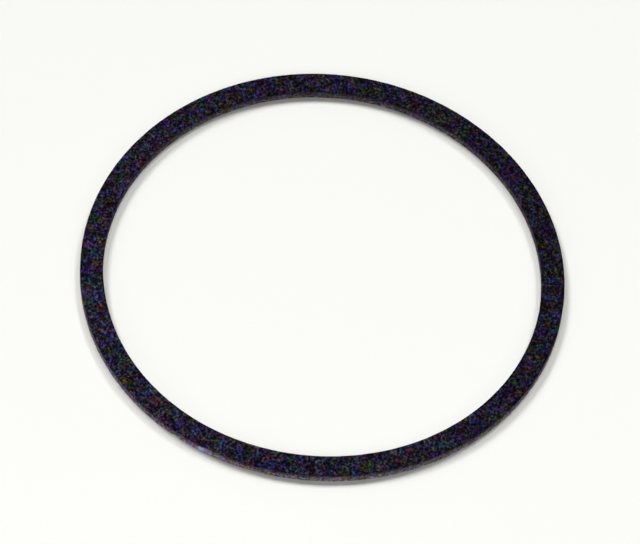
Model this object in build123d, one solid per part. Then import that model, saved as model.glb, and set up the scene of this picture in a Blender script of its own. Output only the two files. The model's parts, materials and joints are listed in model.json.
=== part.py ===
from build123d import *
import os

# Flat ring gasket, moulded in rubber as one piece, in millimetres.
# The origin is the ring's centre on its underside, and +Z is the ring's axis.

# The ring
INNER_DIAMETER = 80.0  # across the inner wall, which goes round a neck or a spigot
BAND_WIDTH = 4.2       # from the inner wall to the outer wall
THICKNESS = 2.0        # from the underside to the top face
EDGE_RADIUS = 0.2      # softened edge at each corner of the section

# The graze, where something has rubbed the outer wall
GRAZE_AZIMUTH = -112.6  # degrees round the axis from +X
GRAZE_HEIGHT = 0.9      # its middle, above the underside
GRAZE_LENGTH = 5.0      # round the wall
GRAZE_WIDTH = 1.4       # up the wall

# The nick, a shallow bite out of the outer wall's bottom edge
NICK_AZIMUTH = -121.7  # degrees round the axis from +X
NICK_LENGTH = 2.5      # along the edge
NICK_WIDTH = 0.4       # across the bite, at its middle

inner_radius = INNER_DIAMETER / 2
outer_radius = inner_radius + BAND_WIDTH


def ring():
    """The section, a rectangle with softened corners, turned once round the axis."""
    with BuildPart() as turned:
        with BuildSketch(Plane.XZ):
            with Locations((inner_radius + BAND_WIDTH / 2, THICKNESS / 2)):
                RectangleRounded(BAND_WIDTH, THICKNESS, EDGE_RADIUS)
        revolve(axis=Axis.Z)
    return turned.part


def rub(azimuth, height, length, width):
    """A rod laid along the outer wall and sunk into it, to cut a shallow dish out of it.

    The wall curves away from the straight rod, so how deep the rod is sunk gives the dish's
    length, and how thick it is then gives the dish's width.
    """
    depth = length**2 / (8 * outer_radius)
    radius = width**2 / (8 * depth) + depth / 2
    rod = Rot(X=90) * Cylinder(radius, 2 * length)
    return Rot(Z=azimuth) * Pos(outer_radius - depth + radius, 0, height) * rod


def bite(azimuth, length, width):
    """A rod laid across the outer wall's bottom edge, at 45 degrees, to cut a bite out of it.

    It is sunk by half the bite's width, and is as thick as the bite's length then needs.
    """
    depth = width / 2
    radius = length**2 / (8 * depth) + depth / 2
    rod = Cylinder(radius, 4 * THICKNESS)
    return Rot(Z=azimuth) * Pos(outer_radius, 0, 0) * Rot(Y=45) * Pos(radius - depth, 0, 0) * rod


graze = rub(GRAZE_AZIMUTH, GRAZE_HEIGHT, GRAZE_LENGTH, GRAZE_WIDTH)
nick = bite(NICK_AZIMUTH, NICK_LENGTH, NICK_WIDTH)
gasket = ring() - graze - nick

os.makedirs("parts", exist_ok=True)
export_step(gasket, "parts/gasket.step")
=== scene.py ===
import json
import math

import bpy
import numpy as np
from mathutils import Matrix, Vector


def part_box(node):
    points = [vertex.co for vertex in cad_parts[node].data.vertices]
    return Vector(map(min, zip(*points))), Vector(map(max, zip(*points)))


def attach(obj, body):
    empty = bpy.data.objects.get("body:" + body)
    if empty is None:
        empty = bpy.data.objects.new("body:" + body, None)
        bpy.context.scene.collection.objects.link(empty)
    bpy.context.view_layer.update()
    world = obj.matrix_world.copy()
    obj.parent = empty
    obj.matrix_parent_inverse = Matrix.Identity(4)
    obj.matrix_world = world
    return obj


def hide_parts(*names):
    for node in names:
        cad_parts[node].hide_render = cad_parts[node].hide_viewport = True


bl_info = {
    "name": "Ring gasket",
    "version": (1, 0, 0),
    "blender": (4, 5, 0),
    "location": "3D View > Sidebar > Gasket",
    "description": "Makes a flat ring gasket of black rubber, lying on a pale floor",
    "category": "Add Mesh",
}

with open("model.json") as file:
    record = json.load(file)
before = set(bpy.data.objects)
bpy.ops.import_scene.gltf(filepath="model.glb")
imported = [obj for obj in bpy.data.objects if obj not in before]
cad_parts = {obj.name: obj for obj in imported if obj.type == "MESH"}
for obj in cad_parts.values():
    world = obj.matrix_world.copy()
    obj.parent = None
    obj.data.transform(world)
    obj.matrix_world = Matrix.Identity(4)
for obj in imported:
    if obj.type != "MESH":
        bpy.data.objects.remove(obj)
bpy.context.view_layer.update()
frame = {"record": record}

NODE = "gasket"
MOUNTS = {mount["name"]: mount for mount in frame["record"]["mounts"]}
MM = 0.001
UP = np.array([0.0, 0.0, 1.0])

# The ring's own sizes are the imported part's. The straight part of its outer wall is shorter
# than the ring is thick, by an edge radius at each end.
INNER_RADIUS = MOUNTS["inner_wall"]["dims"]["r_mm"] * MM
OUTER_RADIUS = MOUNTS["outer_wall"]["dims"]["r_mm"] * MM
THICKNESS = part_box(NODE)[1].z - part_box(NODE)[0].z
EDGE_RADIUS = (THICKNESS - MOUNTS["outer_wall"]["dims"]["length_mm"] * MM) / 2

# How finely the ring is divided: steps round the axis, the step along the flats of the
# section, and steps round each corner of it
STEPS_ROUND = 1440
FLAT_STEP = 0.26 * MM
CORNER_STEPS = 6

# The moulded skin's ripple: how many plane waves it sums, their wavelengths and its seed
RIPPLE_WAVES = 48
RIPPLE_SHORTEST = 0.8 * MM
RIPPLE_LONGEST = 4 * MM
RIPPLE_SEED = 7

# How far the rims of the graze and of the nick are rounded over
GRAZE_RIM = 0.01 * MM
NICK_RIM = 0.03 * MM

# Where the camera looks, from the ring's centre and in outer radii
CAMERA_AIM = Vector((-0.0108, 0.0228, 0.0))
SENSOR_WIDTH_MM = 36.0


# Sizes and colours

def length(name, description, value):
    return bpy.props.FloatProperty(
        name=name, description=description, default=value, min=0.0, precision=6, unit="LENGTH")


def angle(name, description, degrees):
    return bpy.props.FloatProperty(
        name=name, description=description, default=math.radians(degrees), subtype="ANGLE")


def share(name, description, value):
    return bpy.props.FloatProperty(
        name=name, description=description, default=value, min=0.0, max=1.0, subtype="FACTOR")


def tint(name, description, rgb):
    return bpy.props.FloatVectorProperty(
        name=name, description=description, default=rgb, size=3, min=0.0, max=1.0,
        subtype="COLOR")


class RingSizes(bpy.types.PropertyGroup):
    """The ring's section, the two marks on its outer wall and the way it lies."""

    inner_radius: length("Inner radius", "From the axis to the inner wall", INNER_RADIUS)
    outer_radius: length("Outer radius", "From the axis to the outer wall", OUTER_RADIUS)
    thickness: length("Thickness", "From the underside to the top face", THICKNESS)
    edge_radius: length("Edge radius", "Softened corner of the section", EDGE_RADIUS)
    graze_azimuth: angle(
        "Graze azimuth", "Where the outer wall is rubbed, round from +X", -112.6)
    graze_height: length(
        "Graze height", "From the underside to the graze's middle", 0.9 * MM)
    graze_length: length("Graze length", "Length of the graze round the wall", 5.0 * MM)
    graze_width: length("Graze width", "Width of the graze up the wall", 1.4 * MM)
    nick_azimuth: angle(
        "Nick azimuth", "Where the wall's bottom edge is bitten, round from +X", -121.7)
    nick_length: length("Nick length", "Length of the bite along the edge", 2.5 * MM)
    nick_width: length("Nick width", "Width of the bite at its middle", 0.4 * MM)
    relief: length("Relief", "How far the moulded skin rises and falls", 0.006 * MM)
    lobe: length(
        "Lobe", "How far out of round the soft ring lies, in three lobes", 0.12 * MM)
    lobe_azimuth: angle(
        "Lobe azimuth", "Where one of the lobes is, round from +X", 97.0)


class RubberFinish(bpy.types.PropertyGroup):
    """The colours and shine of the rubber, and the light and glint painted on it."""

    black: tint("Black", "The rubber's overall colour", (0.0119, 0.0098, 0.0190))
    # Painted light: foot is the colour painted onto the foot of the walls, standing for light from
    # the pale floor.
    foot: tint(
        "Foot", "What dust adds to that colour at the foot of the walls",
        (0.250, 0.211, 0.228))
    # Painted glint: the pale blue painted on the real dent of the graze.
    graze_glint: tint("Scuff", "Pale rubbed rubber on the graze", (0.55, 0.60, 1.0))
    chalk: tint("Chalk", "Pale dust in the nick and on the edge beside it", (0.75, 0.72, 0.48))
    fleck: length("Fleck size", "Distance across one light or dark fleck", 0.43 * MM)
    patch: length(
        "Patch size", "Distance across one patch of bluer or browner black", 1.9 * MM)
    # Size of the blotches in the painted light at the foot of the walls.
    blotch: length("Smudge size", "Distance across one smudge of the dust", 0.5 * MM)
    # Painted light: the side of the ring that is painted paler, and by how much, for the lamp
    # light that falls on that side.
    lit_side_azimuth: angle(
        "Worn side", "Where the rubber has turned palest, round from +X", -155.0)
    lit_side_gain: share(
        "Wear", "How much paler the rubber is there than halfway round", 0.24)
    roughness: share("Roughness", "Average roughness of the moulded skin", 0.72)
    shine: share(
        "Shine", "Strength of the skin's reflections, 0.5 being plain plastic's", 0.02)


class StageSettings(bpy.types.PropertyGroup):
    """The floor, the lamps and the camera."""

    floor_colour: tint(
        "Floor", "Colour of the floor and of what lies beyond it", (0.959, 0.962, 0.923))
    light: share(
        "Light", "How much light falls on the open floor, 1 showing colours as written", 1.0)
    sky: share("Sky light", "Part of the light that comes from all round", 0.055)
    elevation: angle(
        "Camera elevation", "How far above the floor the camera looks from", 55.85)
    roll: angle("Camera roll", "How far the camera leans about its line of sight", 5.74)
    distance: length(
        "Camera distance", "From the camera to the point it looks at", 1.1326)
    lens: bpy.props.FloatProperty(
        name="Lens", description="Focal length in millimetres on a 36 mm wide frame",
        default=349.0)


# Shader nodes

class Socket:
    """One output of a node. Arithmetic on it, with numbers or other sockets, adds Math nodes."""

    def __init__(self, nodes, output):
        self.nodes = nodes
        self.output = output

    def math(self, operation, first, second):
        return self.nodes.add("ShaderNodeMath", {"operation": operation}, {0: first, 1: second})

    def __add__(self, other):
        return self.math("ADD", self, other)

    def __radd__(self, other):
        return self.math("ADD", other, self)

    def __sub__(self, other):
        return self.math("SUBTRACT", self, other)

    def __rsub__(self, other):
        return self.math("SUBTRACT", other, self)

    def __mul__(self, other):
        return self.math("MULTIPLY", self, other)

    def __rmul__(self, other):
        return self.math("MULTIPLY", other, self)

    def __pow__(self, other):
        return self.math("POWER", self, other)

    def __rpow__(self, other):
        return self.math("POWER", other, self)

    def __abs__(self):
        return self.nodes.add("ShaderNodeMath", {"operation": "ABSOLUTE"}, {0: self})


class NodeTree:
    """The node tree of a material or of the world, emptied and ready to fill."""

    def __init__(self, owner):
        owner.use_nodes = True
        self.tree = owner.node_tree
        self.tree.nodes.clear()

    def add(self, kind, settings=None, inputs=None, output=0):
        """Adds a node, sets its settings and then its sockets, and returns one of its outputs."""
        node = self.tree.nodes.new(kind)
        for name, value in (settings or {}).items():
            setattr(node, name, value)
        for name, value in (inputs or {}).items():
            if isinstance(value, Socket):
                self.tree.links.new(value.output, node.inputs[name])
            else:
                node.inputs[name].default_value = value
        if not node.outputs:
            return node
        return Socket(self, node.outputs[output])

    def vector_math(self, operation, first, second, output="Vector"):
        """A Vector Math node on two vectors or colours."""
        settings = {"operation": operation}
        return self.add("ShaderNodeVectorMath", settings, {0: first, 1: second}, output)

    def dot(self, first, second):
        """The dot product of a socket's vector with a plain one."""
        return self.vector_math("DOT_PRODUCT", first, tuple(second), "Value")

    def vector_length(self, vector):
        """The length of a socket's vector."""
        settings = {"operation": "LENGTH"}
        return self.add("ShaderNodeVectorMath", settings, {0: vector}, "Value")

    def scale(self, vector, factor):
        """A vector or colour times a number."""
        settings = {"operation": "SCALE"}
        return self.add("ShaderNodeVectorMath", settings, {"Vector": vector, "Scale": factor})

    def mix_colour(self, factor, first, second):
        """The first colour where the factor is 0 and the second where it is 1."""
        settings = {"data_type": "RGBA", "clamp_factor": True}
        return self.add("ShaderNodeMix", settings, {0: factor, 6: first, 7: second}, 2)

    def ramp(self, value, low, high):
        """0 where value is at or below low, 1 at or above high, and a smooth step between."""
        settings = {"interpolation_type": "SMOOTHSTEP"}
        inputs = {"Value": value, "From Min": low, "From Max": high, "To Min": 0.0, "To Max": 1.0}
        return self.add("ShaderNodeMapRange", settings, inputs)

    def noise(self, place, size, detail, output="Fac"):
        """Soft noise from 0 to 1, mostly near 0.5, with lumps about that size across in metres."""
        inputs = {"Vector": place, "Scale": 1.0 / size, "Detail": detail, "Roughness": 0.6}
        return self.add("ShaderNodeTexNoise", {"noise_dimensions": "3D"}, inputs, output)


def colour(rgb):
    """A colour with its alpha of 1."""
    return (rgb[0], rgb[1], rgb[2], 1.0)


def wall_axes(azimuth):
    """Unit vectors at an azimuth, outwards and round the ring."""
    out = np.array([math.cos(azimuth), math.sin(azimuth), 0.0])
    round_ring = np.array([-math.sin(azimuth), math.cos(azimuth), 0.0])
    return out, round_ring


# The rubber

def mark_mask(nodes, place, sizes, azimuth, height, reach, rise):
    """1 on a patch of the outer wall and 0 off it, with ragged sides.

    The patch is centred at that azimuth and height, and reach and rise are half its length
    and half its width. It fades out where sqrt(along^2 + up^2), with noise added that strays
    up to 0.6 either way, goes from 0.7 to 1.1. The second output is along, which runs from
    -1 to 1 round the ring across the patch.
    """
    stray = 0.6
    stray_size = 0.4 * MM
    fade_start, fade_end = 0.7, 1.1
    wall_start, wall_end = 0.98 * sizes.outer_radius, 0.99 * sizes.outer_radius
    out, round_ring = wall_axes(azimuth)
    along = nodes.dot(place, round_ring / reach)
    up = nodes.dot(place, UP / rise) - height / rise
    ragged = 2.0 * stray * nodes.noise(place, stray_size, 2.0) - stray
    edge = (along * along + up * up) ** 0.5 + ragged
    on_wall = nodes.ramp(nodes.dot(place, out), wall_start, wall_end)
    return on_wall * (1.0 - nodes.ramp(edge, fade_start, fade_end)), along


def foot_mask(nodes, place, sizes):
    """Where the painted light at the foot of the walls goes, which stands for light from the pale
    floor: 1 at the foot of the outer wall, half that at the foot of the inner, 0 at their tops.

    It is w (1 - h)^1.1, where h goes from 0 at the underside to 1 at the top face, and w is
    1 at the outer wall, 0.5 at the inner wall and 0 over the middle of the ring. w changes
    over a short way that ends a little inside each wall.
    """
    # The inner walls get half as much of the painted light.
    inner_part = 0.5
    fall = 1.1
    half_width = (sizes.outer_radius - sizes.inner_radius) / 2
    start = half_width - 0.5 * MM
    end = half_width - 0.25 * MM
    level = nodes.vector_math("MULTIPLY", place, (1.0, 1.0, 0.0))
    outwards = nodes.vector_length(level) - (sizes.inner_radius + sizes.outer_radius) / 2
    inwards = 0.0 - outwards
    walls = nodes.ramp(outwards, start, end) + inner_part * nodes.ramp(inwards, start, end)
    height = nodes.dot(place, UP / sizes.thickness)
    return walls * (1.0 - height) ** fall


def patch_tint(nodes, place, finish):
    """Patches of bluer and browner black: p^2 for each of red, green and blue.

    p is 0.5 + c (n - 0.5), where n is that colour's own noise from 0 to 1 and c is its
    contrast. Where the noise is at its middle, p^2 is 1/4.
    """
    contrast = (0.75, 0.75, 1.15)
    patches = nodes.noise(place, finish.patch, 1.0, "Color")
    patches = nodes.vector_math("MULTIPLY", patches, contrast)
    patches = nodes.vector_math("ADD", patches, tuple(0.5 - 0.5 * part for part in contrast))
    return nodes.vector_math("MULTIPLY", patches, patches)


def mottled_black(nodes, place, patches, finish, sizes):
    """The rubber's colour: black * 4 p^2 * f * w, where p^2 is the patches' tint.

    f = (4 n - 1)^2.4 makes light and dark flecks, with n a fine noise from 0 to 1 that is
    drawn out a little along Y, and f is 0 where 4 n is under 1. w is painted light: 1, plus
    the lit side's gain times how far the place lies towards the lit side, in outer radii.
    """
    drawn_out = nodes.vector_math("MULTIPLY", place, (1.0, 0.87, 1.0))
    flecks = (4.0 * nodes.noise(drawn_out, finish.fleck, 1.0) - 1.0) ** 2.4
    lit_side = wall_axes(finish.lit_side_azimuth)[0]
    # Painted light: one side of the ring is painted paler, for the lamp light that falls on that
    # side.
    side_light = 1.0 + nodes.dot(place, lit_side * (finish.lit_side_gain / sizes.outer_radius))
    body = nodes.vector_math("MULTIPLY", patches, tuple(4.0 * part for part in finish.black))
    return nodes.scale(body, flecks * side_light)


# Painted light: this paints the walls paler towards their foot, standing for light from the pale
# floor.
def dust(nodes, place, patches, finish, sizes):
    """Painted light at the foot of the walls, for light from the pale floor:
    foot * (0.75 + p^2) * (2 m)^2.5 * foot mask.

    p^2 is the patches' tint, which colours the painted light a little, and m is a noise from 0
    to 1, which gathers it into blotches.
    """
    evenness = (0.75, 0.75, 0.75)
    blotches = (2.0 * nodes.noise(place, finish.blotch, 1.0)) ** 2.5
    layer = nodes.vector_math("ADD", patches, evenness)
    layer = nodes.vector_math("MULTIPLY", layer, tuple(finish.foot))
    return nodes.scale(layer, foot_mask(nodes, place, sizes) * blotches)


def graze_glint_strength(nodes, place, sizes):
    """How much of the painted glint shows on the graze, from 0 to about 1.

    It is the graze's mask, broken into short upright streaks, times 0.28 - 0.1 a + 0.62 b.
    a runs from -1 to 1 along the graze, and b is 1 on the short stretch round a = -0.57 where
    the glint is brightest, fading to 0 on either side of it.
    """
    spread = 0.6
    glint_middle = 0.57
    mask, along = mark_mask(nodes, place, sizes, sizes.graze_azimuth, sizes.graze_height,
                            spread * sizes.graze_length, spread * sizes.graze_width)
    upright = nodes.vector_math("MULTIPLY", place, (1.0, 1.0, 0.2))
    streaks = nodes.ramp(nodes.noise(upright, 0.5 * MM, 1.0), 0.3, 0.6)
    glint_spot = 1.0 - nodes.ramp(abs(along + glint_middle), 0.04, 0.26)
    return mask * streaks * (0.28 - 0.1 * along + 0.62 * glint_spot)


def nick_strength(nodes, place, sizes):
    """How much dust shows in the nick and on the wall's bottom edge beside it, from 0 to 1."""
    reach = 0.55 * sizes.nick_length
    rise = 0.5 * MM
    return mark_mask(nodes, place, sizes, sizes.nick_azimuth, 0.0, reach, rise)[0]


def rubber_material(finish, sizes):
    """Dull black moulded rubber: light and dark flecks over larger patches of bluer and browner
    black, with painted light paler at the foot of the walls and on one side, and a painted glint
    on the graze."""
    pebble_size = 0.5 * finish.fleck
    pebble_depth = 0.02 * MM
    roughness_size = 3.0 * MM
    roughness_spread = 0.2
    material = bpy.data.materials.new("moulded_black_rubber")
    nodes = NodeTree(material)
    place = nodes.add("ShaderNodeTexCoord", output="Object")

    patches = patch_tint(nodes, place, finish)
    body = mottled_black(nodes, place, patches, finish, sizes)
    # Painted light: the walls are painted paler towards their foot, for light from the pale floor.
    body = nodes.vector_math("ADD", body, dust(nodes, place, patches, finish, sizes))
    # Painted glint: pale blue on the graze, whose shallow dent is real.
    body = nodes.mix_colour(graze_glint_strength(nodes, place, sizes), body, colour(finish.graze_glint))
    body = nodes.mix_colour(nick_strength(nodes, place, sizes), body, colour(finish.chalk))

    pebbles = nodes.noise(place, pebble_size, 3.0)
    inputs = {"Strength": 0.25, "Distance": pebble_depth, "Height": pebbles}
    normal = nodes.add("ShaderNodeBump", None, inputs)
    smoother = finish.roughness - roughness_spread / 2
    roughness = nodes.noise(place, roughness_size, 2.0) * roughness_spread + smoother
    inputs = {
        "Base Color": body,
        "Roughness": roughness,
        "Normal": normal,
        "Specular IOR Level": finish.shine,
    }
    shader = nodes.add("ShaderNodeBsdfPrincipled", None, inputs)
    nodes.add("ShaderNodeOutputMaterial", None, {"Surface": shader})
    return material


def floor_material(stage):
    """A matt pale floor."""
    material = bpy.data.materials.new("pale_floor")
    nodes = NodeTree(material)
    matt = nodes.add("ShaderNodeBsdfDiffuse", None, {"Color": colour(stage.floor_colour)})
    nodes.add("ShaderNodeOutputMaterial", None, {"Surface": matt})
    return material


# The ring's surface

def section(sizes, flat_step, corner_steps):
    """Points round the section, as radius and height, and their outward normals.

    The section is a rectangle with quarter circles at its corners. A corner's points are its
    centre plus the edge radius times the cosine and sine of an angle, and straight runs join
    the corners in even steps. The order is anticlockwise with the radius to the right.
    """
    middle = (sizes.inner_radius + sizes.outer_radius) / 2
    half_width = (sizes.outer_radius - sizes.inner_radius) / 2 - sizes.edge_radius
    half_height = sizes.thickness / 2 - sizes.edge_radius
    points = []
    normals = []
    # Where each quarter circle starts, in half turns, which corner it rounds, and the length
    # of the straight run that follows it
    quarters = (
        (0.0, 1, 1, 2 * half_width),
        (0.5, -1, 1, 2 * half_height),
        (1.0, -1, -1, 2 * half_width),
        (1.5, 1, -1, 2 * half_height),
    )
    for start, right, up, run in quarters:
        turn = np.pi * np.linspace(start, start + 0.5, corner_steps + 1)
        normal = np.stack([np.cos(turn), np.sin(turn)], 1)
        corner = np.array([middle + right * half_width, sizes.thickness / 2 + up * half_height])
        points.append(corner + sizes.edge_radius * normal)
        normals.append(normal)
        ahead = np.array([-normal[-1, 1], normal[-1, 0]])
        count = max(round(run / flat_step), 2)
        along = np.linspace(0.0, run, count + 1)[1:-1]
        points.append(points[-1][-1] + along[:, None] * ahead)
        normals.append(np.repeat(normal[-1:], count - 1, axis=0))
    return np.concatenate(points), np.concatenate(normals)


def sweep(pairs, turn):
    """Pairs (r, z) carried round the axis: (r cos a, r sin a, z) for each angle a in turn."""
    across = pairs[:, 0] * np.cos(turn)
    back = pairs[:, 0] * np.sin(turn)
    up = np.broadcast_to(pairs[:, 1], across.shape)
    return np.stack([across, back, up], -1)


def ripple(points, shortest, longest, count, seed):
    """A smooth random height at each point, with a mean square of one.

    It is the sum of plane waves in random directions, cos(k . p + phase), with wavelengths
    spread evenly between the shortest and the longest.
    """
    draw = np.random.default_rng(seed)
    heading = draw.normal(size=(count, 3))
    heading /= np.linalg.norm(heading, axis=1, keepdims=True)
    wavelength = draw.uniform(shortest, longest, count)
    phase = draw.uniform(0.0, 2 * np.pi, count)
    waves = points @ (heading * (2 * np.pi / wavelength)[:, None]).T + phase
    return np.cos(waves).sum(axis=-1) * math.sqrt(2.0 / count)


def press(points, origin, facing, across, depth, reach, rim):
    """Points pushed back wherever they stand proud of a round rod sunk into the ring.

    The rod lies in front of the origin, which it covers by that depth, and its surface is
    s = R - depth - sqrt(R^2 - x^2) along the facing, where x is the distance from the origin
    across the rod, and R = reach^2 / (8 depth) + depth / 2 makes the cut that wide. A point's
    distance h along the facing is held to the smaller of h and s, blended over the rim. x is
    held just short of R, where the rod's surface turns upright.
    """
    radius = reach**2 / (8 * depth) + depth / 2
    limit = 0.99 * radius
    offset = np.clip((points - origin) @ across, -limit, limit)
    proud = (points - origin) @ facing - (radius - depth - np.sqrt(radius**2 - offset**2))
    push = (proud + np.sqrt(proud**2 + rim**2)) / 2
    return points - push[..., None] * facing


def ring_surface(sizes, steps_round, flat_step, corner_steps):
    """Grid of points of the ring, one row for each angle round the axis.

    A point at angle a and section place (r, z) is (r cos a, r sin a, z), moved along the
    section's normal by the skin's ripple, then cut back by the graze and the nick, and kept
    from going below the floor. Last, the ring lies a little out of round: each point moves
    outwards by lobe * cos(3 (a - azimuth)).
    """
    place, normal = section(sizes, flat_step, corner_steps)
    turn = 2 * np.pi * np.arange(steps_round)[:, None] / steps_round
    points = sweep(place, turn)
    skin = ripple(points, RIPPLE_SHORTEST, RIPPLE_LONGEST, RIPPLE_WAVES, RIPPLE_SEED)
    points = points + (sizes.relief * skin)[..., None] * sweep(normal, turn)

    out = wall_axes(sizes.graze_azimuth)[0]
    depth = sizes.graze_length**2 / (8 * sizes.outer_radius)
    origin = sizes.outer_radius * out + sizes.graze_height * UP
    points = press(points, origin, out, UP, depth, sizes.graze_width, GRAZE_RIM)

    out, round_ring = wall_axes(sizes.nick_azimuth)
    facing = (out - UP) / math.sqrt(2)
    depth = sizes.nick_width / 2
    origin = sizes.outer_radius * out
    points = press(points, origin, facing, round_ring, depth, sizes.nick_length, NICK_RIM)

    points[..., 2] = np.maximum(points[..., 2], 0.0)
    outwards = np.concatenate([np.cos(turn), np.sin(turn), np.zeros_like(turn)], 1)
    sway = sizes.lobe * np.cos(3 * (turn - sizes.lobe_azimuth))
    return points + (sway * outwards)[:, None, :]


def closed_mesh(name, grid):
    """A mesh from a grid that closes on itself both ways, with its faces pointing outwards."""
    rows, columns = grid.shape[:2]
    index = np.arange(rows * columns).reshape(rows, columns)
    right = np.roll(index, -1, axis=0)
    up = np.roll(index, -1, axis=1)
    corner = np.roll(right, -1, axis=1)
    quads = np.stack([index, right, corner, up], -1).reshape(-1, 4)
    mesh = bpy.data.meshes.new(name)
    mesh.from_pydata(grid.reshape(-1, 3).tolist(), [], quads.tolist())
    mesh.polygons.foreach_set("use_smooth", np.ones(len(quads), bool))
    mesh.update()
    return mesh


def link(name, data):
    """An object with that data, put into the scene."""
    thing = bpy.data.objects.new(name, data)
    bpy.context.scene.collection.objects.link(thing)
    return thing


# The stage

def make_floor(stage, sizes):
    """A wide square floor, a hair below the ring's underside so that the two don't touch."""
    half = 400 * sizes.outer_radius
    drop = -0.01 * MM
    corners = [(-half, -half, drop), (half, -half, drop), (half, half, drop), (-half, half, drop)]
    mesh = bpy.data.meshes.new("floor")
    mesh.from_pydata(corners, [], [(0, 1, 2, 3)])
    floor = link("floor", mesh)
    floor.data.materials.append(floor_material(stage))


def towards(azimuth, zenith):
    """The unit vector that many degrees round from +X and down from straight up."""
    azimuth = math.radians(azimuth)
    zenith = math.radians(zenith)
    level = math.sin(zenith)
    return Vector((level * math.cos(azimuth), level * math.sin(azimuth), math.cos(zenith)))


def far_lamp(name, azimuth, zenith, width, part):
    """A soft lamp a long way off, which lights the whole floor alike.

    width is how wide it looks, in degrees, and part is the part of a level floor's full light
    that it gives: a floor lit by strength s from the zenith angle z gets s cos z, and pi is full.
    """
    lamp = bpy.data.lights.new(name, "SUN")
    lamp.angle = math.radians(width)
    lamp.energy = part * math.pi / math.cos(math.radians(zenith))
    thing = link(name, lamp)
    turn = towards(azimuth, zenith).to_track_quat("Z", "Y").to_matrix().to_4x4()
    thing.matrix_world = turn


def near_lamp(name, azimuth, zenith, distance, width, part):
    """A round lamp close by, which lights the near side of the ring more than the far side.

    distance and width are in metres, and part is the part of a level floor's full light that
    it gives at the ring's centre.
    """
    toward = towards(azimuth, zenith)
    lamp = bpy.data.lights.new(name, "AREA")
    lamp.shape = "DISK"
    lamp.size = width
    lamp.energy = part * (math.pi * distance) ** 2 / toward.z
    thing = link(name, lamp)
    turn = toward.to_track_quat("Z", "Y").to_matrix().to_4x4()
    thing.matrix_world = Matrix.Translation(toward * distance) @ turn


def make_lamps(light):
    """The lamps. Their parts and the sky light's add up to about one full light."""
    far_lamp("key_lamp", azimuth=140, zenith=39, width=22, part=0.379 * light)
    far_lamp("second_lamp", azimuth=56, zenith=37, width=17, part=0.245 * light)
    far_lamp("overhead_lamp", azimuth=90, zenith=22, width=16, part=0.146 * light)
    far_lamp("low_back_lamp", azimuth=105, zenith=64, width=30, part=0.028 * light)
    far_lamp("low_right_lamp", azimuth=315, zenith=54, width=22, part=0.043 * light)
    far_lamp("low_left_lamp", azimuth=225, zenith=64, width=22, part=0.035 * light)
    near_lamp(
        "front_lamp", azimuth=262, zenith=42, distance=0.40, width=0.12, part=0.080 * light)


def make_surroundings(stage):
    """The world: faint white light from all round, with the floor's colour behind everything.

    The camera sees the floor's colour on every side. Mirrors and clear pieces see it up to a
    low band, whose edge fades between these heights of the unit direction, and the faint
    light above.
    """
    band_start, band_end = 0.15, 0.35
    world = bpy.data.worlds.new("white_surroundings")
    nodes = NodeTree(world)
    seen = nodes.add("ShaderNodeLightPath", output="Is Camera Ray")
    mirrored = nodes.add("ShaderNodeLightPath", output="Is Glossy Ray")
    through = nodes.add("ShaderNodeLightPath", output="Is Transmission Ray")
    direction = nodes.add("ShaderNodeTexCoord", output="Object")
    height = nodes.add("ShaderNodeSeparateXYZ", None, {0: direction}, "Z")
    low_band = 1.0 - nodes.ramp(height, band_start, band_end)
    plain_share = seen + (mirrored + through) * low_band
    faint = {"Color": colour((1.0, 1.0, 1.0)), "Strength": stage.sky}
    plain = {"Color": colour(stage.floor_colour), "Strength": 1.0}
    light = nodes.add("ShaderNodeBackground", None, faint)
    backdrop = nodes.add("ShaderNodeBackground", None, plain)
    shader = nodes.add("ShaderNodeMixShader", None, {0: plain_share, 1: light, 2: backdrop})
    nodes.add("ShaderNodeOutputWorld", None, {"Surface": shader})
    return world


def make_camera(stage, sizes):
    """The camera, on the -Y side of the ring, looking down at a point near its centre."""
    camera = link("camera", bpy.data.cameras.new("camera"))
    camera.data.sensor_width = SENSOR_WIDTH_MM
    camera.data.lens = stage.lens
    camera.data.clip_start = 0.01
    camera.data.clip_end = 100.0
    back = Vector((0.0, -math.cos(stage.elevation), math.sin(stage.elevation)))
    target = CAMERA_AIM * sizes.outer_radius
    level_turn = back.to_track_quat("Z", "Y").to_matrix().to_4x4()
    turn = level_turn @ Matrix.Rotation(stage.roll, 4, "Z")
    camera.matrix_world = Matrix.Translation(target + back * stage.distance) @ turn
    return camera


# Operators

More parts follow.
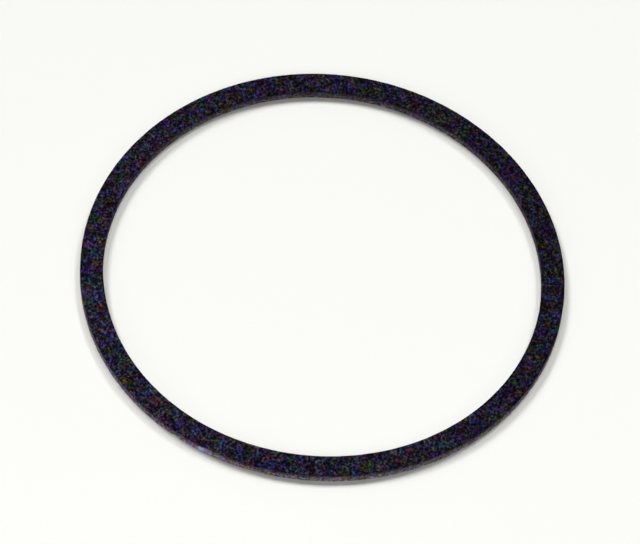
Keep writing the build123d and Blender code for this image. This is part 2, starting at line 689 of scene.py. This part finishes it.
class GASKET_OT_ring(bpy.types.Operator):
    """Makes the gasket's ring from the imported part's sizes and dresses it in rubber"""

    bl_idname = "gasket.ring"
    bl_label = "Gasket ring"
    bl_options = {"REGISTER", "UNDO"}

    def execute(self, context):
        sizes = context.scene.gasket_ring
        grid = ring_surface(sizes, STEPS_ROUND, FLAT_STEP, CORNER_STEPS)
        ring = link("gasket_ring", closed_mesh("gasket_ring", grid))
        ring.data.materials.append(rubber_material(context.scene.gasket_finish, sizes))
        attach(ring, "root")
        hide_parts(NODE)
        return {"FINISHED"}


class GASKET_OT_stage(bpy.types.Operator):
    """Makes the floor, the soft lamps, the white surroundings and the camera"""

    bl_idname = "gasket.stage"
    bl_label = "Stage"
    bl_options = {"REGISTER", "UNDO"}

    def execute(self, context):
        scene = context.scene
        stage = scene.gasket_stage
        sizes = scene.gasket_ring
        make_floor(stage, sizes)
        make_lamps(stage.light)
        scene.world = make_surroundings(stage)
        scene.camera = make_camera(stage, sizes)
        scene.view_settings.view_transform = "Standard"
        return {"FINISHED"}


class VIEW3D_PT_gasket(bpy.types.Panel):
    """Lists the pieces and their settings"""

    bl_idname = "VIEW3D_PT_gasket"
    bl_label = "Gasket"
    bl_space_type = "VIEW_3D"
    bl_region_type = "UI"
    bl_category = "Gasket"

    def draw(self, context):
        groups = (
            (GASKET_OT_ring, (context.scene.gasket_ring, context.scene.gasket_finish)),
            (GASKET_OT_stage, (context.scene.gasket_stage,)),
        )
        for operator, holders in groups:
            box = self.layout.box()
            box.operator(operator.bl_idname)
            for holder in holders:
                for name in holder.__annotations__:
                    box.prop(holder, name)


CLASSES = (
    RingSizes, RubberFinish, StageSettings, GASKET_OT_ring, GASKET_OT_stage, VIEW3D_PT_gasket)
HOLDERS = {
    "gasket_ring": RingSizes,
    "gasket_finish": RubberFinish,
    "gasket_stage": StageSettings,
}


def register():
    for cls in CLASSES:
        bpy.utils.register_class(cls)
    for name, group in HOLDERS.items():
        setattr(bpy.types.Scene, name, bpy.props.PointerProperty(type=group))


def unregister():
    for name in HOLDERS:
        delattr(bpy.types.Scene, name)
    for cls in reversed(CLASSES):
        bpy.utils.unregister_class(cls)


def main():
    register()
    bpy.ops.gasket.ring()
    bpy.ops.gasket.stage()


if __name__ == "__main__":
    main()
